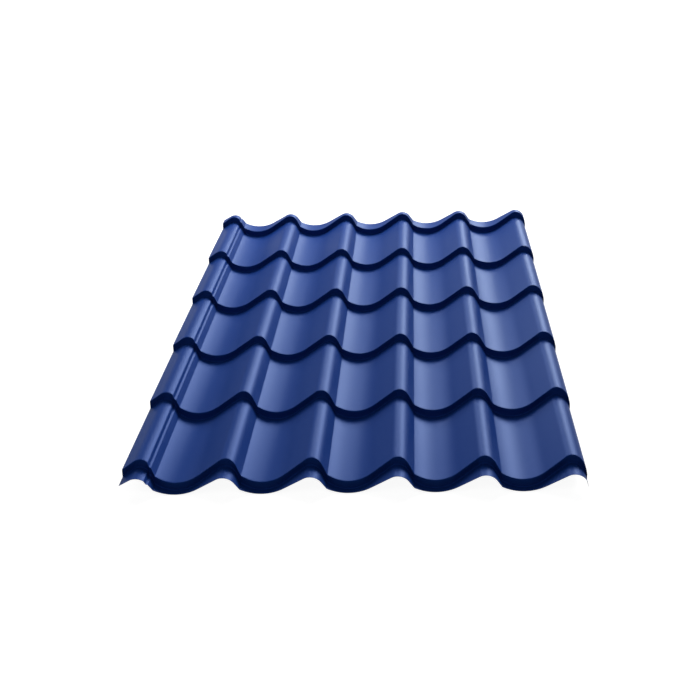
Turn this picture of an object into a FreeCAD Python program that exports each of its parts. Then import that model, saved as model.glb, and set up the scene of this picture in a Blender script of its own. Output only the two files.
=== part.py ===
"""Tile effect roofing sheet: one piece of thin coated steel, formed into waves and pressed into steps.

The waves run up the roof along Y and repeat across it along X. Their section is made of straight
stretches and tangent arcs: a round crest, a steep flank that ends in a crease, a shallow trough and a
long rise to the next crest. Each row of tiles climbs towards the eave at the front and drops down a
step face between two sharp folds, the nose and the foot. A step line lies further forward in a trough
than on a crest, as the lower edge of a clay tile does.

Both sides of the sheet are made alike: the wave's section is carried, without turning, along the
stepped line. The frame has its origin on the floor, under the middle of the sheet, with +Y up the roof
and +Z up.
"""

import FreeCAD
import Part

import math
import os
from dataclasses import dataclass

Vector = FreeCAD.Vector

# The sheet
SHEET_THICKNESS = 0.5

# The waves, seen from the eave, on the upper side of the sheet
WAVE_PITCH = 220.0
WAVE_HEIGHT = 45.5
FULL_WAVES = 5
CREST_RADIUS = 34.5
FLANK_ANGLE = math.radians(54.5)
RISE_ANGLE = math.radians(28.0)
CREASE_HEIGHT = 12.5
CREASE_RADIUS = 6.0

# The left lap ends on the rise before the first crest, the right lap on a steeper flank after the last
LEFT_LAP = 44.5
LAST_FLANK_ANGLE = math.radians(80.0)
LAST_FLANK_LENGTH = 7.1

# The drain groove on the right shoulder of the first crest, which a neighbouring sheet covers
GROOVE_OFFSET = 20.0
GROOVE_WALL_ANGLE = math.radians(62.0)
GROOVE_WALL_LENGTH = 9.5
GROOVE_FLOOR_ANGLE = math.radians(20.0)
GROOVE_RADIUS = 1.0

# The rows of tiles along the sheet
TILE_LENGTH = 350.0
FULL_ROWS = 5
STEP_HEIGHT = 20.0
STEP_LEAN = 3.0
STEP_SWEEP = 0.89
EAVE_STUB = 65.0
RIDGE_STUB = 28.0

SEWING_TOLERANCE = 0.001


@dataclass(frozen=True)
class Corner:
    """A corner of a flat line, with the radius of the arc that rounds it, or zero where it stays sharp."""

    point: tuple
    radius: float = 0.0


@dataclass(frozen=True)
class Stretch:
    """A straight stretch or an arc of a flat line. An arc also has the corner that it rounds."""

    points: tuple
    heading_in: float
    heading_out: float

    def is_arc(self):
        return len(self.points) > 2

    def middle(self):
        """The heading halfway along."""
        return (self.heading_in + self.heading_out) / 2

    def pull(self):
        """The weight of the corner that makes the curve drawn from the points a true arc."""
        return math.cos((self.heading_out - self.heading_in) / 2)

    def weights(self):
        return (1.0, self.pull(), 1.0) if self.is_arc() else (1.0, 1.0)


def along(point, heading, distance):
    """The point moved along the heading."""
    return point[0] + distance * math.cos(heading), point[1] + distance * math.sin(heading)


def sideways(point, heading, distance):
    """The point moved to the right of the heading."""
    return along(point, heading - math.pi / 2, distance)


def crossing(point, heading, other, other_heading):
    """The point where two lines meet, each given by a point and a heading."""
    gap = (other[0] - point[0], other[1] - point[1])
    reach = gap[0] * math.sin(other_heading) - gap[1] * math.cos(other_heading)
    return along(point, heading, reach / math.sin(other_heading - heading))


def headings(corners):
    """The headings into and out of each corner. At an end of the line both are those of its only side."""
    sides = [
        math.atan2(after.point[1] - before.point[1], after.point[0] - before.point[0])
        for before, after in zip(corners, corners[1:])
    ]
    return list(zip([sides[0]] + sides, sides + [sides[-1]]))


def parallel(corners, distance):
    """The corners of the line that lies the distance to the right."""
    shifted = []
    for corner, (heading_in, heading_out) in zip(corners, headings(corners)):
        turn = heading_out - heading_in
        point = sideways(corner.point, heading_in + turn / 2, distance / math.cos(turn / 2))
        growth = math.copysign(distance, turn) if corner.radius else 0.0
        shifted.append(Corner(point, corner.radius + growth))
    return shifted


def stretches(corners):
    """The straight stretches between the corners, and the tangent arc at each corner with a radius.

    Two arcs that touch have no straight stretch between them.
    """
    parts = []
    here = corners[0].point
    for corner, (heading_in, heading_out) in list(zip(corners, headings(corners)))[1:]:
        trim = corner.radius * math.tan(abs(heading_out - heading_in) / 2)
        arc_start = along(corner.point, heading_in, -trim)
        if math.dist(here, arc_start) > SEWING_TOLERANCE:
            parts.append(Stretch((here, arc_start), heading_in, heading_in))
        here = along(corner.point, heading_out, trim)
        if corner.radius:
            parts.append(Stretch((arc_start, corner.point, here), heading_in, heading_out))
    return parts


def crest_point(heading):
    """The point of the crest that peaks at zero where the section has this heading."""
    return CREST_RADIUS * math.sin(-heading), WAVE_HEIGHT - CREST_RADIUS * (1 - math.cos(heading))


def trough_arc():
    """The middle and the radius of the trough after that crest.

    The arc touches height zero and the rise to the next crest, and meets the flank at the crease's height.
    """
    flank_x, flank_top = crest_point(-FLANK_ANGLE)
    crease_x = flank_x + (flank_top - CREASE_HEIGHT) / math.tan(FLANK_ANGLE)
    rise_x, rise_top = crest_point(RISE_ANGLE)
    rise_foot_x = WAVE_PITCH + rise_x - rise_top / math.tan(RISE_ANGLE)
    span = rise_foot_x - crease_x
    gain = math.tan(RISE_ANGLE / 2)
    half = CREASE_HEIGHT + span * gain
    radius = (half - math.sqrt(half**2 - gain**2 * (span**2 + CREASE_HEIGHT**2))) / gain**2
    return (rise_foot_x - radius * gain, radius), radius


def crease_heading():
    """The heading where the crease's arc runs on into the trough's arc."""
    (middle_x, middle_height), radius = trough_arc()
    start = sideways(crest_point(-FLANK_ANGLE), -FLANK_ANGLE, -CREASE_RADIUS)
    gap = (middle_x - start[0], middle_height - start[1])
    ahead = gap[0] * math.cos(FLANK_ANGLE) - gap[1] * math.sin(FLANK_ANGLE)
    aside = gap[0] * math.sin(FLANK_ANGLE) + gap[1] * math.cos(FLANK_ANGLE)
    run = ahead + math.sqrt((radius - CREASE_RADIUS) ** 2 - aside**2)
    crease_x, crease_height = along(start, -FLANK_ANGLE, run)
    return -math.atan2(middle_x - crease_x, middle_height - crease_height)


def crest_corner(heading):
    """The corner that a crest is rounded from between the rise and the point where it has this heading."""
    return Corner(crossing(crest_point(RISE_ANGLE), RISE_ANGLE, crest_point(heading), heading), CREST_RADIUS)


def drain_groove():
    """The corners of the first crest and of the groove that takes the place of its right shoulder.

    The groove's wall drops from the end of the crest's arc, and its floor runs out to the flank.
    """
    heading = -math.asin(GROOVE_OFFSET / CREST_RADIUS)
    lip_length = GROOVE_RADIUS * math.tan((GROOVE_WALL_ANGLE + heading) / 2)
    lip = along(crest_point(heading), heading, lip_length)
    floor = along(lip, -GROOVE_WALL_ANGLE, GROOVE_WALL_LENGTH)
    far_lip = crossing(floor, -GROOVE_FLOOR_ANGLE, crest_point(-FLANK_ANGLE), -FLANK_ANGLE)
    return [crest_corner(heading)] + [Corner(point, GROOVE_RADIUS) for point in (lip, floor, far_lip)]


def right_edge():
    """The right edge of the sheet, measured from the last crest."""
    return along(crest_point(-LAST_FLANK_ANGLE), -LAST_FLANK_ANGLE, LAST_FLANK_LENGTH)


def wave_section():
    """The upper side of the sheet across its waves, from the left lap to the right lap, as X and height."""
    flank = crest_point(-FLANK_ANGLE)
    rise = crest_point(RISE_ANGLE)
    next_rise = (rise[0] + WAVE_PITCH, rise[1])
    middle, radius = trough_arc()
    heading = crease_heading()
    touch = sideways(middle, heading, radius)
    crease = Corner(crossing(flank, -FLANK_ANGLE, touch, heading), CREASE_RADIUS)
    trough = Corner(crossing(touch, heading, next_rise, RISE_ANGLE), radius)
    left_end = crossing((-LEFT_LAP, 0.0), math.pi / 2, rise, RISE_ANGLE)
    crests = [drain_groove()] + [[crest_corner(-FLANK_ANGLE)]] * (FULL_WAVES - 1)
    waves = [crest + [crease, trough] for crest in crests]
    waves.append([crest_corner(-LAST_FLANK_ANGLE), Corner(right_edge())])

    corners = [Corner(left_end)]
    for number, wave in enumerate(waves):
        for corner in wave:
            place = (corner.point[0] + number * WAVE_PITCH, corner.point[1])
            corners.append(Corner(place, corner.radius))
    return corners


def sweep(height):
    """How far the step line lies in front of the crest at this height of the section."""
    return STEP_SWEEP * (WAVE_HEIGHT - height)


def stepped_line():
    """The line of a crest from the eave to the ridge, as Y and height, with all noses at height zero.

    It runs on past the ridge by as much as the troughs lie forward, and the straight cut takes the rest off.
    """
    fall = STEP_HEIGHT / (TILE_LENGTH - STEP_LEAN)
    eave = -EAVE_STUB
    corners = [Corner((eave, -STEP_HEIGHT + (EAVE_STUB - STEP_LEAN) * fall))]
    for row in range(FULL_ROWS + 1):
        nose = row * TILE_LENGTH
        corners.append(Corner((nose - STEP_LEAN, -STEP_HEIGHT)))
        corners.append(Corner((nose, 0.0)))
    run_out = RIDGE_STUB + sweep(0.0) + max(set_back(FLANK_ANGLE), set_back(LAST_FLANK_ANGLE))
    corners.append(Corner((FULL_ROWS * TILE_LENGTH + run_out, -run_out * fall)))
    return corners


def set_back(heading):
    """How far back the hidden side of the section lies, so that a step face keeps the sheet's thickness.

    A face follows the swept step line, so it turns away from the front where the wave is steep.
    """
    steepness = STEP_SWEEP * math.tan(heading)
    across = math.sqrt(1 + steepness**2)
    drift = steepness * math.sin(heading)
    return SHEET_THICKNESS * (across + drift - 1)


def set_backs(stretch):
    """The set-back at each point of a stretch. That of an arc's corner makes the arc's middle right too."""
    ends = [set_back(stretch.heading_in), set_back(stretch.heading_out)]
    if not stretch.is_arc():
        return ends
    pull = stretch.pull()
    corner = (set_back(stretch.middle()) * (1 + pull) - sum(ends) / 2) / pull
    return [ends[0], corner, ends[1]]


def upper_rail(section):
    """The poles of the section's upper side along a step line, stretch by stretch."""
    return [[Vector(x, -sweep(height), height) for x, height in stretch.points] for stretch in section]


def hidden_rail(section, below):
    """The poles of the section's hidden side.

    It is drawn a sheet's thickness too high, because the hidden side of the stepped line is that much lower.
    """
    rail = []
    for upper, lower in zip(section, below):
        levels = zip(upper.points, lower.points, set_backs(upper))
        rail.append(
            [Vector(low[0], back - sweep(high[1]), low[1] + SHEET_THICKNESS) for high, low, back in levels]
        )
    return rail


def reach(poles):
    """The length of the sides between the poles, which gives a surface a parameter close to its length."""
    return sum(before.distanceToPoint(after) for before, after in zip(poles, poles[1:]))


def face(grid, weights):
    """A face from a grid of poles and their weights: straight along two poles and an arc along three."""
    degrees = (len(grid) - 1, len(grid[0]) - 1)
    if degrees == (1, 1):
        corners = [*grid[0], *reversed(grid[1])]
        if Part.Plane(*corners[:3]).toShape().distToShape(Part.Vertex(corners[3]))[0] < SEWING_TOLERANCE:
            return Part.Face(Part.makePolygon(corners + corners[:1]))
    lengths = (reach([row[0] for row in grid]), reach(grid[0]))
    mults = [[degree + 1] * 2 for degree in degrees]
    knots = [[0.0, length] for length in lengths]
    patch = Part.BSplineSurface()
    patch.buildFromPolesMultsKnots(grid, *mults, *knots, False, False, *degrees, weights)
    return patch.toShape()


def side_of_sheet(rail, section, line):
    """The faces of one side of the sheet: each stretch of the rail along each stretch of the line."""
    faces = []
    for step in line:
        offsets = [Vector(0.0, y, height) for y, height in step.points]
        for poles, across in zip(rail, section):
            grid = [[pole + offset for pole in poles] for offset in offsets]
            weights = [[pull * other for other in across.weights()] for pull in step.weights()]
            faces.append(face(grid, weights))
    return faces


def rim(upper, lower, weights):
    """The thin face between an edge of the upper side and the same edge of the hidden side."""
    return face([upper, lower], [weights, weights])


def lap_rims(upper_pole, hidden_pole, line, line_below):
    """The thin faces along one lap of the sheet."""
    faces = []
    for step, below in zip(line, line_below):
        upper = [upper_pole + Vector(0.0, *point) for point in step.points]
        lower = [hidden_pole + Vector(0.0, *point) for point in below.points]
        faces.append(rim(upper, lower, step.weights()))
    return faces


def end_rims(upper, hidden, section, point, point_below):
    """The thin faces across one end of the sheet, before it is cut straight."""
    faces = []
    for high, low, across in zip(upper, hidden, section):
        top = [pole + Vector(0.0, *point) for pole in high]
        under = [pole + Vector(0.0, *point_below) for pole in low]
        faces.append(rim(top, under, across.weights()))
    return faces


def pressed_sheet():
    """The sheet as one closed solid, with the curved ends that it has before it is cut straight."""
    section = stretches(wave_section())
    section_below = stretches(parallel(wave_section(), SHEET_THICKNESS))
    line = stretches(stepped_line())
    line_below = stretches(parallel(stepped_line(), SHEET_THICKNESS))
    upper = upper_rail(section)
    hidden = hidden_rail(section, section_below)

    faces = side_of_sheet(upper, section, line) + side_of_sheet(hidden, section, line_below)
    faces += lap_rims(upper[0][0], hidden[0][0], line, line_below)
    faces += lap_rims(upper[-1][-1], hidden[-1][-1], line, line_below)
    faces += end_rims(upper, hidden, section, line[0].points[0], line_below[0].points[0])
    faces += end_rims(upper, hidden, section, line[-1].points[-1], line_below[-1].points[-1])
    shell = Part.makeShell(faces)
    shell.sewShape(SEWING_TOLERANCE)
    sheet = Part.makeSolid(shell)
    if sheet.Volume < 0:
        sheet.reverse()
    return sheet


def cut_straight(sheet):
    """The part of the sheet between the straight cuts at the eave and at the ridge."""
    length = EAVE_STUB + FULL_ROWS * TILE_LENGTH + RIDGE_STUB
    room = sheet.BoundBox
    room.enlarge(WAVE_HEIGHT)
    between = Part.makeBox(room.XLength, length, room.ZLength, Vector(room.XMin, -EAVE_STUB, room.ZMin))
    return sheet.common(between).Solids[0]


def placed(sheet):
    """The sheet stood on the floor, with the origin under its middle."""
    middle_x = (FULL_WAVES * WAVE_PITCH + right_edge()[0] - LEFT_LAP) / 2
    middle_y = (FULL_ROWS * TILE_LENGTH + RIDGE_STUB - EAVE_STUB) / 2
    floor = sheet.optimalBoundingBox(False).ZMin
    return sheet.translated(Vector(-middle_x, -middle_y, -floor))


def main():
    os.makedirs("parts", exist_ok=True)
    sheet = placed(cut_straight(pressed_sheet()))
    sheet.exportStep("parts/roofing_sheet.step")
    box = sheet.optimalBoundingBox(False)
    print(f"roofing_sheet: valid {sheet.isValid()}, {len(sheet.Faces)} faces, {sheet.Volume:.0f} mm3")
    print(f"size {box.XLength:.2f} x {box.YLength:.2f} x {box.ZLength:.2f} mm, floor at {box.ZMin:.3f}")


if __name__ == "__main__":
    main()
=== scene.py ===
"""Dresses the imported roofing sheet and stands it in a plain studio.

The sheet is pressed again here from its own sizes, with its folds rounded as in real steel and with
enough facets for clean reflections. Its weather side, its hidden side and its cut edges each have a
finish. Everything is in metres.
"""

import logging
import math
from dataclasses import dataclass, field
from enum import Enum

import bmesh
import bpy
from mathutils import Matrix, Vector


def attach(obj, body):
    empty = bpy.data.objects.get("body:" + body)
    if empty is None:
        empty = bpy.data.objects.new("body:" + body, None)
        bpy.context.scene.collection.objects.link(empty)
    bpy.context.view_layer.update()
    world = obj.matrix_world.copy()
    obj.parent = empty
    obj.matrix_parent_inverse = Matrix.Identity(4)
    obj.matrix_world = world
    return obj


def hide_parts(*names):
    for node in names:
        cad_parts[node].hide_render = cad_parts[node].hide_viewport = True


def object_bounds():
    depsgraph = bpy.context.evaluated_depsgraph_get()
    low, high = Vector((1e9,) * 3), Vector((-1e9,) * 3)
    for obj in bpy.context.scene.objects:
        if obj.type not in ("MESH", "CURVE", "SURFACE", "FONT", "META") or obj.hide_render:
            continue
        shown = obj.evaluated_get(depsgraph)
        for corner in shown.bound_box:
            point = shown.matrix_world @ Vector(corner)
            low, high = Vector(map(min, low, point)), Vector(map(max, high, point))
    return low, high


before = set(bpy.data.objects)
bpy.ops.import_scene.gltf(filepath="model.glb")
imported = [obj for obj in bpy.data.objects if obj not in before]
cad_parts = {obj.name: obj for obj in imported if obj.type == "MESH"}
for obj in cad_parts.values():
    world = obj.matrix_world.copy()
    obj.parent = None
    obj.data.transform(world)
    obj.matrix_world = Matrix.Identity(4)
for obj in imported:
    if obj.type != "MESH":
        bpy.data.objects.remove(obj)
cad_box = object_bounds()

logging.basicConfig(level=logging.INFO, format="%(message)s")
log = logging.getLogger("roofing_sheet")

WHITE = (1.0, 1.0, 1.0, 1.0)


class Face(Enum):
    """The kinds of face that have a finish of their own, with the material slot of each."""

    WEATHER = 0
    HIDDEN = 1
    CUT_EDGE = 2


@dataclass(frozen=True)
class Corner:
    """A corner of a flat line, with the radius of the arc that rounds it, or zero where it stays sharp."""

    x: float
    z: float
    radius: float = 0.0

    def moved(self, across: float) -> "Corner":
        """The same corner further along X."""
        return Corner(self.x + across, self.z, self.radius)


class LinePen:
    """Draws a flat line in a mesh, in the XZ plane, as straight runs and arcs."""

    SHORTEST_RUN = 1e-6
    MARGINS_IN_LONG_RUN = 4
    FEWEST_ARC_STEPS = 2

    def __init__(self, mesh: bmesh.types.BMesh, start: Corner, arc_step: float, margin: float) -> None:
        """Starts a line.

        Args:
            mesh: The mesh that gets the line.
            start: Where the line starts.
            arc_step: The largest turn between two points of an arc, in radians.
            margin: How far from its ends a long run gets a point, so that shading stays flat between them.
        """
        self.mesh = mesh
        self.arc_step = arc_step
        self.margin = margin
        self.verts = [mesh.verts.new((start.x, 0.0, start.z))]

    @property
    def tip(self) -> bmesh.types.BMVert:
        """The last point of the line so far."""
        return self.verts[-1]

    def step(self, heading: float, length: float) -> None:
        """Adds one straight edge.

        Args:
            heading: The direction of the edge, in radians from +X towards +Z.
            length: Its length.
        """
        made = bmesh.ops.extrude_vert_indiv(self.mesh, verts=[self.tip])["verts"]
        move = Vector((math.cos(heading), 0.0, math.sin(heading))) * length
        bmesh.ops.translate(self.mesh, verts=made, vec=move)
        self.verts += made

    def run(self, heading: float, length: float) -> None:
        """Adds a straight run, with a point near each end if it is long.

        Args:
            heading: The direction of the run, in radians from +X towards +Z.
            length: Its length. A run of no length adds nothing.
        """
        if length > self.MARGINS_IN_LONG_RUN * self.margin:
            self.step(heading, self.margin)
            self.step(heading, length - 2 * self.margin)
            self.step(heading, self.margin)
        elif length > self.SHORTEST_RUN:
            self.step(heading, length)

    def turn(self, heading: float, radius: float, angle: float) -> None:
        """Adds an arc.

        Args:
            heading: The direction in which the arc starts.
            radius: Its radius.
            angle: How far it turns, in radians, positive to the left.
        """
        side = math.copysign(radius, angle)
        centre = self.tip.co + Vector((-math.sin(heading), 0.0, math.cos(heading))) * side
        steps = max(self.FEWEST_ARC_STEPS, math.ceil(abs(angle) / self.arc_step))
        before = set(self.mesh.verts)
        bmesh.ops.spin(
            self.mesh, geom=[self.tip], cent=centre, axis=(0.0, -1.0, 0.0), angle=angle, steps=steps
        )
        self.verts += [vert for vert in self.mesh.verts if vert not in before]

    def follow(self, corners: list[Corner]) -> None:
        """Draws the line through the corners, each rounded by its radius.

        Args:
            corners: The corners after the start, and the end of the line as the last one.
        """
        here = (self.tip.co.x, self.tip.co.z)
        for corner, after in zip(corners, corners[1:] + [None]):
            heading = math.atan2(corner.z - here[1], corner.x - here[0])
            length = math.dist(here, (corner.x, corner.z))
            if after is None:
                self.run(heading, length)
                return
            turn = math.atan2(after.z - corner.z, after.x - corner.x) - heading
            trim = corner.radius * math.tan(abs(turn) / 2)
            self.run(heading, length - trim)
            if corner.radius:
                self.turn(heading, corner.radius, turn)
            here = (self.tip.co.x, self.tip.co.z)


@dataclass(frozen=True)
class WaveSection:
    """The section across the waves, on the weather side, with the first crest at X zero.

    It is made of straight stretches and tangent arcs: a round crest, a steep flank that ends in a crease,
    a shallow trough and a long rise to the next crest. The first crest has a drain groove on its shoulder.
    """

    pitch: float = 0.220
    height: float = 0.0455
    full_waves: int = 5
    crest_radius: float = 0.0345
    flank: float = math.radians(54.5)
    rise: float = math.radians(28.0)
    crease_height: float = 0.0125
    crease_radius: float = 0.006
    left_lap: float = 0.0445
    last_flank: float = math.radians(80.0)
    last_flank_length: float = 0.0071
    groove_offset: float = 0.020
    groove_wall: float = math.radians(62.0)
    groove_wall_length: float = 0.0095
    groove_floor: float = math.radians(20.0)
    groove_radius: float = 0.001

    def crest_point(self, heading: float) -> tuple[float, float]:
        """The point of the first crest where the section has this heading."""
        drop = self.crest_radius * (1 - math.cos(heading))
        return -self.crest_radius * math.sin(heading), self.height - drop

    @staticmethod
    def crossing(
        point: tuple[float, float], heading: float, other: tuple[float, float], other_heading: float
    ) -> tuple[float, float]:
        """Where two lines meet.

        Args:
            point: A point of the first line.
            heading: The first line's heading.
            other: A point of the second line.
            other_heading: The second line's heading.

        Returns:
            The place of the meeting as X and Z.
        """
        gap = (other[0] - point[0], other[1] - point[1])
        reach = gap[0] * math.sin(other_heading) - gap[1] * math.cos(other_heading)
        reach /= math.sin(other_heading - heading)
        return point[0] + reach * math.cos(heading), point[1] + reach * math.sin(heading)

    def trough(self) -> tuple[float, float]:
        """The trough's arc, which touches height zero and the rise, and meets the flank at the crease.

        Returns:
            The X of its middle and its radius.
        """
        flank_x, flank_top = self.crest_point(-self.flank)
        crease_x = flank_x + (flank_top - self.crease_height) / math.tan(self.flank)
        rise_x, rise_top = self.crest_point(self.rise)
        foot_x = self.pitch + rise_x - rise_top / math.tan(self.rise)
        span = foot_x - crease_x
        gain = math.tan(self.rise / 2)
        half = self.crease_height + span * gain
        root = math.sqrt(half**2 - gain**2 * (span**2 + self.crease_height**2))
        radius = (half - root) / gain**2
        return foot_x - radius * gain, radius

    def crease_heading(self) -> float:
        """The heading where the crease's arc runs on into the trough's arc.

        Returns:
            The heading in radians, which is negative, because the line still falls there.
        """
        middle_x, radius = self.trough()
        top_x, top_z = self.crest_point(-self.flank)
        start_x = top_x + self.crease_radius * math.sin(self.flank)
        start_z = top_z + self.crease_radius * math.cos(self.flank)
        gap = (middle_x - start_x, radius - start_z)
        ahead = gap[0] * math.cos(self.flank) - gap[1] * math.sin(self.flank)
        aside = gap[0] * math.sin(self.flank) + gap[1] * math.cos(self.flank)
        run = ahead + math.sqrt((radius - self.crease_radius) ** 2 - aside**2)
        crease_x = start_x + run * math.cos(self.flank)
        crease_z = start_z - run * math.sin(self.flank)
        return -math.atan2(middle_x - crease_x, radius - crease_z)

    def crest(self, heading: float) -> Corner:
        """The corner that a crest is rounded from between the rise and this heading."""
        place = self.crossing(self.crest_point(self.rise), self.rise, self.crest_point(heading), heading)
        return Corner(*place, self.crest_radius)

    def grooved_crest(self) -> list[Corner]:
        """The first crest and the drain groove on its right shoulder.

        Returns:
            Their corners: the crest, the groove's lip, its floor and the far lip on the flank.
        """
        heading = -math.asin(self.groove_offset / self.crest_radius)
        lip_length = self.groove_radius * math.tan((self.groove_wall + heading) / 2)
        end_x, end_z = self.crest_point(heading)
        lip = (end_x + lip_length * math.cos(heading), end_z + lip_length * math.sin(heading))
        floor = (
            lip[0] + self.groove_wall_length * math.cos(self.groove_wall),
            lip[1] - self.groove_wall_length * math.sin(self.groove_wall),
        )
        far_lip = self.crossing(floor, -self.groove_floor, self.crest_point(-self.flank), -self.flank)
        groove = [Corner(*place, self.groove_radius) for place in (lip, floor, far_lip)]
        return [self.crest(heading)] + groove

    def valley(self) -> list[Corner]:
        """The crease and the trough after the first crest.

        Returns:
            A corner for each.
        """
        middle_x, radius = self.trough()
        heading = self.crease_heading()
        touch = (middle_x + radius * math.sin(heading), radius - radius * math.cos(heading))
        rise_x, rise_z = self.crest_point(self.rise)
        next_rise = (rise_x + self.pitch, rise_z)
        crease = self.crossing(self.crest_point(-self.flank), -self.flank, touch, heading)
        trough = self.crossing(touch, heading, next_rise, self.rise)
        return [Corner(*crease, self.crease_radius), Corner(*trough, radius)]

    def right_edge(self) -> Corner:
        """The right edge of the sheet.

        Returns:
            The end of the section, measured from the last crest.
        """
        end_x, end_z = self.crest_point(-self.last_flank)
        run = self.last_flank_length
        return Corner(end_x + run * math.cos(self.last_flank), end_z - run * math.sin(self.last_flank))

    def corners(self) -> list[Corner]:
        """The whole section.

        Returns:
            All its corners from the left edge to the right edge.
        """
        left_edge = self.crossing((-self.left_lap, 0.0), math.pi / 2, self.crest_point(self.rise), self.rise)
        waves = [self.grooved_crest() + self.valley()]
        waves += [[self.crest(-self.flank)] + self.valley() for _ in range(self.full_waves - 1)]
        waves.append([self.crest(-self.last_flank), self.right_edge()])
        made = [Corner(*left_edge)]
        for number, wave in enumerate(waves):
            made += [corner.moved(number * self.pitch) for corner in wave]
        return made

    def middle(self) -> float:
        """The X of the sheet's middle."""
        return (self.full_waves * self.pitch + self.right_edge().x - self.left_lap) / 2


@dataclass(frozen=True)
class SteppedLine:
    """The line of a crest from the eave to the ridge, as Y and height, with all noses at height zero."""

    tile_length: float = 0.350
    full_rows: int = 5
    step_height: float = 0.020
    step_lean: float = 0.003
    sweep: float = 0.89
    eave_stub: float = 0.065
    ridge_stub: float = 0.028
    nose_radius: float = 0.003
    foot_radius: float = 0.0028
    spare: float = 0.070

    def corners(self) -> list[Corner]:
        """The whole line, which runs on past the ridge so that every wave reaches the cut.

        Returns:
            All its corners from the eave on.
        """
        fall = self.step_height / (self.tile_length - self.step_lean)
        made = [Corner(-self.eave_stub, (self.eave_stub - self.step_lean) * fall - self.step_height)]
        for row in range(self.full_rows + 1):
            nose = row * self.tile_length
            made.append(Corner(nose - self.step_lean, -self.step_height, self.foot_radius))
            made.append(Corner(nose, 0.0, self.nose_radius))
        run_out = self.ridge_stub + self.spare
        made.append(Corner(self.full_rows * self.tile_length + run_out, -run_out * fall))
        return made

    def ends(self) -> tuple[float, float]:
        """The Y of the cut at the eave and of the cut at the ridge."""
        return -self.eave_stub, self.full_rows * self.tile_length + self.ridge_stub

    def middle(self) -> float:
        """The Y of the sheet's middle."""
        return sum(self.ends()) / 2


class Nodes:
    """Adds nodes to a tree and links them."""

    def __init__(self, tree: bpy.types.NodeTree) -> None:
        """Takes the node tree of a material, a world or a node group."""
        self.tree = tree

    @classmethod
    def of_material(cls, material: bpy.types.Material) -> "Nodes":
        """The nodes of a new material, with the ones that it came with taken out.

        Args:
            material: The new material.

        Returns:
            Its node tree, empty.
        """
        material.use_nodes = True
        material.node_tree.nodes.clear()
        return cls(material.node_tree)

    def add(self, kind: str, **values: object) -> bpy.types.Node:
        """Adds a node.

        Args:
            kind: The node's type.
            values: Settings of the node by name, or values of its sockets, whose names have _ for a space.

        Returns:
            The new node.
        """
        node = self.tree.nodes.new(kind)
        for name, value in values.items():
            if hasattr(node, name):
                setattr(node, name, value)
            else:
                node.inputs[name.replace("_", " ")].default_value = value
        return node

    def link(self, start: bpy.types.NodeSocket, end: bpy.types.NodeSocket) -> None:
        """Links two sockets."""
        self.tree.links.new(start, end)


class CoatingGrain:
    """The shared group for what every coating shows close up: its fine pebble, slow drifts and dust."""

    NAME = "coating_grain"
    INPUTS = {
        "Place": "NodeSocketVector",
        "Pebble Scale": "NodeSocketFloat",
        "Drift Scale": "NodeSocketFloat",
    }
    OUTPUTS = ("Pebble", "Drift", "Dust")
    PEBBLE_NOISE = {"Detail": 2.0, "Roughness": 0.5}
    DRIFT_NOISE = {"Detail": 1.0, "Roughness": 0.4}
    DRIFT_STRETCH = (1.0, 0.35, 1.0)
    DUST_NOISE = {"Scale": 38.0, "Detail": 6.0, "Roughness": 0.7}
    DUST_RANGE = {"From_Min": 0.52, "From_Max": 0.78}

    @classmethod
    def group(cls) -> bpy.types.NodeTree:
        """The node group, which is built the first time that a finish asks for it.

        Returns:
            The group. It puts out the height of the pebble, the height of the drifts and a mask of the dust.
        """
        if cls.NAME in bpy.data.node_groups:
            return bpy.data.node_groups[cls.NAME]
        tree = bpy.data.node_groups.new(cls.NAME, "ShaderNodeTree")
        for name, kind in cls.INPUTS.items():
            tree.interface.new_socket(name=name, in_out="INPUT", socket_type=kind)
        for name in cls.OUTPUTS:
            tree.interface.new_socket(name=name, in_out="OUTPUT", socket_type="NodeSocketFloat")
        nodes = Nodes(tree)
        entry = nodes.add("NodeGroupInput")
        leave = nodes.add("NodeGroupOutput")
        pebble = nodes.add("ShaderNodeTexNoise", **cls.PEBBLE_NOISE)
        drift = nodes.add("ShaderNodeTexNoise", **cls.DRIFT_NOISE)
        dust = nodes.add("ShaderNodeTexNoise", **cls.DUST_NOISE)
        stretch = nodes.add("ShaderNodeMapping", Scale=cls.DRIFT_STRETCH)
        speck = nodes.add("ShaderNodeMapRange", **cls.DUST_RANGE)
        for reader in (pebble, dust, stretch):
            nodes.link(entry.outputs["Place"], reader.inputs["Vector"])
        nodes.link(stretch.outputs["Vector"], drift.inputs["Vector"])
        nodes.link(entry.outputs["Pebble Scale"], pebble.inputs["Scale"])
        nodes.link(entry.outputs["Drift Scale"], drift.inputs["Scale"])
        nodes.link(dust.outputs["Fac"], speck.inputs["Value"])
        nodes.link(pebble.outputs["Fac"], leave.inputs["Pebble"])
        nodes.link(drift.outputs["Fac"], leave.inputs["Drift"])
        nodes.link(speck.outputs["Result"], leave.inputs["Dust"])
        return tree


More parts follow.
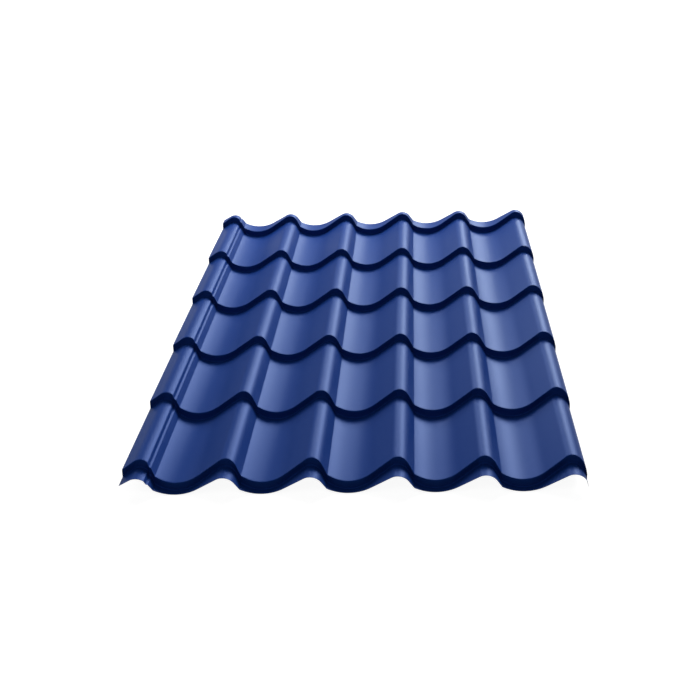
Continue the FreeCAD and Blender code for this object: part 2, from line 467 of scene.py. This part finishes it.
@dataclass(frozen=True)
class Coating:
    """A coil coating on steel, or its bare metal: dust in its colour, a fine pebble and an uneven gloss.

    The sheen is the tint of its reflections. The depths are in metres.
    """

    name: str
    colour: tuple[float, float, float]
    dusty_colour: tuple[float, float, float]
    roughness: tuple[float, float]
    metallic: float
    specular: float
    pebble_depth: float
    drift_depth: float
    sheen: tuple[float, float, float] = (1.0, 1.0, 1.0)
    pebble_scale: float = 420.0
    drift_scale: float = 9.0

    def material(self) -> bpy.types.Material:
        """Builds the finish.

        Returns:
            The new material.
        """
        made = bpy.data.materials.new(self.name)
        nodes = Nodes.of_material(made)
        place = nodes.add("ShaderNodeTexCoord")
        grain = nodes.add(
            "ShaderNodeGroup",
            node_tree=CoatingGrain.group(),
            Pebble_Scale=self.pebble_scale,
            Drift_Scale=self.drift_scale,
        )
        shader = nodes.add(
            "ShaderNodeBsdfPrincipled",
            Metallic=self.metallic,
            Specular_IOR_Level=self.specular,
            Specular_Tint=(*self.sheen, 1.0),
        )
        output = nodes.add("ShaderNodeOutputMaterial")
        nodes.link(place.outputs["Object"], grain.inputs["Place"])
        nodes.link(self.tint(nodes, grain), shader.inputs["Base Color"])
        nodes.link(self.gloss(nodes, grain), shader.inputs["Roughness"])
        nodes.link(self.relief(nodes, grain), shader.inputs["Normal"])
        nodes.link(shader.outputs["BSDF"], output.inputs["Surface"])
        return made

    def tint(self, nodes: Nodes, grain: bpy.types.Node) -> bpy.types.NodeSocket:
        """Mixes the dusty colour into the clean one.

        Args:
            nodes: The finish's nodes.
            grain: The finish's node of the shared group.

        Returns:
            The socket that gives the colour.
        """
        clean, dusty = (*self.colour, 1.0), (*self.dusty_colour, 1.0)
        mix = nodes.add("ShaderNodeMix", data_type="RGBA", A=clean, B=dusty)
        nodes.link(grain.outputs["Dust"], mix.inputs["Factor"])
        return mix.outputs["Result"]

    def gloss(self, nodes: Nodes, grain: bpy.types.Node) -> bpy.types.NodeSocket:
        """Lets the roughness drift between its two values.

        Args:
            nodes: The finish's nodes.
            grain: The finish's node of the shared group.

        Returns:
            The socket that gives the roughness.
        """
        least, most = self.roughness
        level = nodes.add("ShaderNodeMapRange", To_Min=least, To_Max=most)
        nodes.link(grain.outputs["Drift"], level.inputs["Value"])
        return level.outputs["Result"]

    def relief(self, nodes: Nodes, grain: bpy.types.Node) -> bpy.types.NodeSocket:
        """Lays the fine pebble over the slow drifts.

        Args:
            nodes: The finish's nodes.
            grain: The finish's node of the shared group.

        Returns:
            The socket that gives the normal.
        """
        slow = nodes.add("ShaderNodeBump", Strength=1.0, Distance=self.drift_depth)
        fine = nodes.add("ShaderNodeBump", Strength=1.0, Distance=self.pebble_depth)
        nodes.link(grain.outputs["Drift"], slow.inputs["Height"])
        nodes.link(grain.outputs["Pebble"], fine.inputs["Height"])
        nodes.link(slow.outputs["Normal"], fine.inputs["Normal"])
        return fine.outputs["Normal"]


BLUE_COATING = Coating(
    name="blue_coating",
    colour=(0.006, 0.032, 0.182),
    dusty_colour=(0.007, 0.034, 0.187),
    roughness=(0.40, 0.44),
    metallic=0.07,
    specular=0.020,
    sheen=(0.60, 0.89, 0.96),
    pebble_depth=0.000006,
    drift_depth=0.00005,
)
BACKING_COATING = Coating(
    name="backing_coating",
    colour=(0.36, 0.38, 0.39),
    dusty_colour=(0.31, 0.33, 0.34),
    roughness=(0.42, 0.55),
    metallic=0.0,
    specular=0.4,
    pebble_depth=0.00001,
    drift_depth=0.00012,
)
CUT_EDGE_STEEL = Coating(
    name="cut_edge_steel",
    colour=(0.30, 0.31, 0.33),
    dusty_colour=(0.22, 0.22, 0.23),
    roughness=(0.38, 0.55),
    metallic=0.9,
    specular=0.5,
    pebble_depth=0.00002,
    drift_depth=0.00005,
    pebble_scale=900.0,
)
FINISHES = {Face.WEATHER: BLUE_COATING, Face.HIDDEN: BACKING_COATING, Face.CUT_EDGE: CUT_EDGE_STEEL}


def put_in_scene(name: str, data: bpy.types.ID) -> bpy.types.Object:
    """Adds an object to the scene, at the origin.

    Args:
        name: The object's name.
        data: Its mesh, lamp or camera data.

    Returns:
        The new object.
    """
    made = bpy.data.objects.new(name, data)
    bpy.context.scene.collection.objects.link(made)
    return made


def object_of_mesh(name: str, mesh: bmesh.types.BMesh) -> bpy.types.Object:
    """Turns a finished mesh into an object of the scene.

    Args:
        name: The name of the object and of its mesh.
        mesh: The mesh, which is freed.

    Returns:
        The new object.
    """
    data = bpy.data.meshes.new(name)
    mesh.to_mesh(data)
    mesh.free()
    return put_in_scene(name, data)


@dataclass(frozen=True)
class RoofingSheet:
    """The pressed sheet, with its section, its stepped line and a finish for each of its faces."""

    section: WaveSection = field(default_factory=WaveSection)
    line: SteppedLine = field(default_factory=SteppedLine)
    thickness: float = 0.0005
    arc_step: float = math.radians(3.2)
    fold_step: float = math.radians(16.0)
    margin: float = 0.004
    cut_tolerance: float = 1e-7

    def build(self) -> bpy.types.Object:
        """Makes the piece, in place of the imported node.

        Returns:
            The finished piece.
        """
        mesh = self.weather_side()
        top = cad_box[1].z - self.section.height
        shift = Vector((-self.section.middle(), -self.line.middle(), top))
        bmesh.ops.translate(mesh, verts=mesh.verts[:], vec=shift)
        self.thicken(mesh)
        self.keep_in_box(mesh)
        self.mark_faces(mesh)
        piece = object_of_mesh("pressed_sheet", mesh)
        for kind in Face:
            piece.data.materials.append(FINISHES[kind].material())
        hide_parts("roofing_sheet")
        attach(piece, "root")
        return piece

    def weather_side(self) -> bmesh.types.BMesh:
        """The upper side of the sheet, with its straight cuts.

        Returns:
            A mesh with its faces up.
        """
        mesh = bmesh.new()
        first, *others = self.section.corners()
        LinePen(mesh, first, self.arc_step, self.margin).follow(others)
        self.sweep(mesh)
        self.carry(mesh)
        self.cut_ends(mesh)
        mesh.normal_update()
        if sum(face.normal.z * face.calc_area() for face in mesh.faces) < 0:
            bmesh.ops.reverse_faces(mesh, faces=mesh.faces[:])
        return mesh

    def sweep(self, mesh: bmesh.types.BMesh) -> None:
        """Moves the low parts of the section forward, as the step lines are.

        Args:
            mesh: The section as a line of edges.
        """
        shear = Matrix.Identity(4)
        shear[1][2] = self.line.sweep
        bmesh.ops.transform(mesh, verts=mesh.verts[:], matrix=shear)
        shift = Vector((0.0, -self.line.sweep * self.section.height, 0.0))
        bmesh.ops.translate(mesh, verts=mesh.verts[:], vec=shift)

    def path(self) -> list[Vector]:
        """The points of the stepped line, which carries the section.

        The pen draws it in the XZ plane, so what is X there becomes the sheet's Y.

        Returns:
            The points from the eave to the ridge.
        """
        mesh = bmesh.new()
        first, *others = self.line.corners()
        pen = LinePen(mesh, first, self.fold_step, self.margin)
        pen.follow(others)
        places = [Vector((0.0, vert.co.x, vert.co.z)) for vert in pen.verts]
        mesh.free()
        return places

    def carry(self, mesh: bmesh.types.BMesh) -> None:
        """Extrudes the section along the stepped line.

        Args:
            mesh: The section as a line of edges.
        """
        places = self.path()
        bmesh.ops.translate(mesh, verts=mesh.verts[:], vec=places[0])
        edges = mesh.edges[:]
        for before, after in zip(places, places[1:]):
            made = bmesh.ops.extrude_edge_only(mesh, edges=edges)["geom"]
            verts = [item for item in made if isinstance(item, bmesh.types.BMVert)]
            bmesh.ops.translate(mesh, verts=verts, vec=after - before)
            fresh = set(verts)
            made_edges = [item for item in made if isinstance(item, bmesh.types.BMEdge)]
            edges = [edge for edge in made_edges if fresh.issuperset(edge.verts)]

    def cut_ends(self, mesh: bmesh.types.BMesh) -> None:
        """Cuts the swept ends straight at the eave and at the ridge.

        Args:
            mesh: The upper side, before it is put in its place.
        """
        for place, outward in zip(self.line.ends(), (-1.0, 1.0)):
            bmesh.ops.bisect_plane(
                mesh,
                geom=mesh.verts[:] + mesh.edges[:] + mesh.faces[:],
                dist=self.cut_tolerance,
                plane_co=(0.0, place, 0.0),
                plane_no=(0.0, outward, 0.0),
                clear_outer=True,
            )

    def thicken(self, mesh: bmesh.types.BMesh) -> None:
        """Adds the hidden side and the cut edges, and gives each face the place of its finish.

        Args:
            mesh: The weather side, in its place.
        """
        weather_faces = set(mesh.faces)
        weather_verts = set(mesh.verts)
        bmesh.ops.solidify(mesh, geom=mesh.faces[:], thickness=self.thickness)
        for face in mesh.faces:
            if face not in weather_faces:
                kind = Face.HIDDEN if weather_verts.isdisjoint(face.verts) else Face.CUT_EDGE
                face.material_index = kind.value

    @staticmethod
    def keep_in_box(mesh: bmesh.types.BMesh) -> None:
        """Moves what the thickness pushed out of the CAD model's box back to the box's sides.

        Args:
            mesh: The whole sheet.
        """
        low, high = cad_box
        for vert in mesh.verts:
            vert.co = [min(max(value, least), most) for value, least, most in zip(vert.co, low, high)]

    @staticmethod
    def mark_faces(mesh: bmesh.types.BMesh) -> None:
        """Shades the faces smooth, with a sharp edge wherever two finishes meet.

        Args:
            mesh: The whole sheet.
        """
        for face in mesh.faces:
            face.smooth = True
        for edge in mesh.edges:
            edge.smooth = len({face.material_index for face in edge.link_faces}) == 1


@dataclass(frozen=True)
class SoftBox:
    """A large soft lamp, which points at its target, the middle of the sheet."""

    name: str
    place: tuple[float, float, float]
    width: float
    height: float
    watts: float
    target: tuple[float, float, float] = (0.0, 0.0, 0.0)

    def build(self) -> None:
        """Hangs the lamp."""
        data = bpy.data.lights.new(self.name, "AREA")
        data.shape = "RECTANGLE"
        data.size = self.width
        data.size_y = self.height
        data.energy = self.watts
        lamp = put_in_scene(self.name, data)
        lamp.location = self.place
        aim = Vector(self.target) - Vector(self.place)
        lamp.rotation_euler = aim.to_track_quat("-Z", "Y").to_euler()


@dataclass(frozen=True)
class Viewpoint:
    """The camera, as it was solved from the photograph's step lines and crests.

    The angles are how far it looks down, how far it is turned aside from the sheet's length, and its roll.
    """

    place: tuple[float, float, float] = (0.1738, -3.2942, 1.6250)
    down: float = math.radians(27.196)
    aside: float = math.radians(-2.485)
    roll: float = math.radians(1.983)
    image_pixels: float = 700.0
    focal_pixels: float = 1136.7
    middle_column: float = 375.6
    sensor_width: float = 36.0
    reach: float = 100.0

    def build(self) -> None:
        """Sets up the camera."""
        data = bpy.data.cameras.new("viewpoint")
        data.sensor_width = self.sensor_width
        data.lens = self.focal_pixels / self.image_pixels * self.sensor_width
        data.shift_x = (self.image_pixels / 2 - self.middle_column) / self.image_pixels
        data.clip_end = self.reach
        camera = put_in_scene("viewpoint", data)
        camera.matrix_world = Matrix.Translation(self.place) @ self.turn()
        bpy.context.scene.camera = camera

    def turn(self) -> Matrix:
        """How the camera is turned.

        Returns:
            A matrix of four rows that turns and doesn't move.
        """
        ahead = Vector(
            (
                math.sin(self.aside) * math.cos(self.down),
                math.cos(self.aside) * math.cos(self.down),
                -math.sin(self.down),
            )
        )
        level = Vector((math.cos(self.aside), -math.sin(self.aside), 0.0))
        below = ahead.cross(level)
        right = level * math.cos(self.roll) + below * math.sin(self.roll)
        under = below * math.cos(self.roll) - level * math.sin(self.roll)
        return Matrix((right, -under, -ahead)).transposed().to_4x4()


@dataclass(frozen=True)
class Studio:
    """The pale floor, the room's even light and the lamps.

    A strength of 1 shows as white. The floor glows a little less, because its lit colour adds the rest.
    """

    floor_size: float = 60.0
    floor_cells: int = 8
    floor_colour: tuple[float, float, float] = (0.40, 0.40, 0.40)
    floor_glow: float = 0.92
    room_glow: float = 1.0
    room_light: float = 0.06
    lamps: tuple[SoftBox, ...] = (
        SoftBox("key_box", (4.66, 9.91, 4.88), 4.6, 4.2, 1100.0),
        SoftBox("low_box", (2.56, 10.99, 4.10), 3.6, 3.2, 665.0),
        SoftBox("back_box", (-0.25, 2.60, 1.60), 1.1, 1.1, 48.0),
        SoftBox("left_box", (-2.48, 2.08, 2.35), 1.6, 1.6, 36.0),
        SoftBox("front_box", (-1.18, -3.23, 4.92), 3.0, 3.0, 34.0),
    )

    def build(self) -> None:
        """Builds the floor, the room and the lamps."""
        self.floor()
        self.room()
        for lamp in self.lamps:
            lamp.build()

    def floor(self) -> None:
        """Lays the floor, which shows white to the eye and in reflections and keeps the shadow on it."""
        mesh = bmesh.new()
        cells = self.floor_cells
        bmesh.ops.create_grid(mesh, x_segments=cells, y_segments=cells, size=self.floor_size / 2)
        floor = object_of_mesh("studio_floor", mesh)
        made = bpy.data.materials.new("studio_floor")
        nodes = Nodes.of_material(made)
        matt = nodes.add("ShaderNodeBsdfDiffuse", Color=(*self.floor_colour, 1.0))
        glow = nodes.add("ShaderNodeEmission", Color=WHITE)
        both = nodes.add("ShaderNodeAddShader")
        output = nodes.add("ShaderNodeOutputMaterial")
        nodes.link(self.seen(nodes, self.floor_glow, 0.0), glow.inputs["Strength"])
        nodes.link(matt.outputs["BSDF"], both.inputs[0])
        nodes.link(glow.outputs["Emission"], both.inputs[1])
        nodes.link(both.outputs["Shader"], output.inputs["Surface"])
        floor.data.materials.append(made)

    def room(self) -> None:
        """Lights the room evenly, and shows it white to the eye and in reflections."""
        world = bpy.data.worlds.new("studio_room")
        world.use_nodes = True
        shade = world.node_tree.nodes["Background"]
        shade.inputs["Color"].default_value = WHITE
        nodes = Nodes(world.node_tree)
        nodes.link(self.seen(nodes, self.room_glow, self.room_light), shade.inputs["Strength"])
        bpy.context.scene.world = world

    @staticmethod
    def seen(nodes: Nodes, shown: float, otherwise: float) -> bpy.types.NodeSocket:
        """A strength for what the camera, a reflection or a clear piece sees, and another for other rays.

        Args:
            nodes: The tree that gets the nodes.
            shown: The strength for the rays that see.
            otherwise: The strength for the rays that only light.

        Returns:
            The socket that gives the strength.
        """
        path = nodes.add("ShaderNodeLightPath")
        eye = nodes.add("ShaderNodeMath", operation="MAXIMUM")
        any_sight = nodes.add("ShaderNodeMath", operation="MAXIMUM")
        level = nodes.add("ShaderNodeMapRange", To_Min=otherwise, To_Max=shown)
        nodes.link(path.outputs["Is Camera Ray"], eye.inputs[0])
        nodes.link(path.outputs["Is Glossy Ray"], eye.inputs[1])
        nodes.link(eye.outputs["Value"], any_sight.inputs[0])
        nodes.link(path.outputs["Is Transmission Ray"], any_sight.inputs[1])
        nodes.link(any_sight.outputs["Value"], level.inputs["Value"])
        return level.outputs["Result"]


def main() -> None:
    """Builds the sheet, the studio and the camera, and reports the sheet."""
    bpy.context.scene.view_settings.view_transform = "Standard"
    piece = RoofingSheet().build()
    log.info("%s: %d faces", piece.name, len(piece.data.polygons))
    Studio().build()
    Viewpoint().build()


if __name__ == "__main__":
    main()
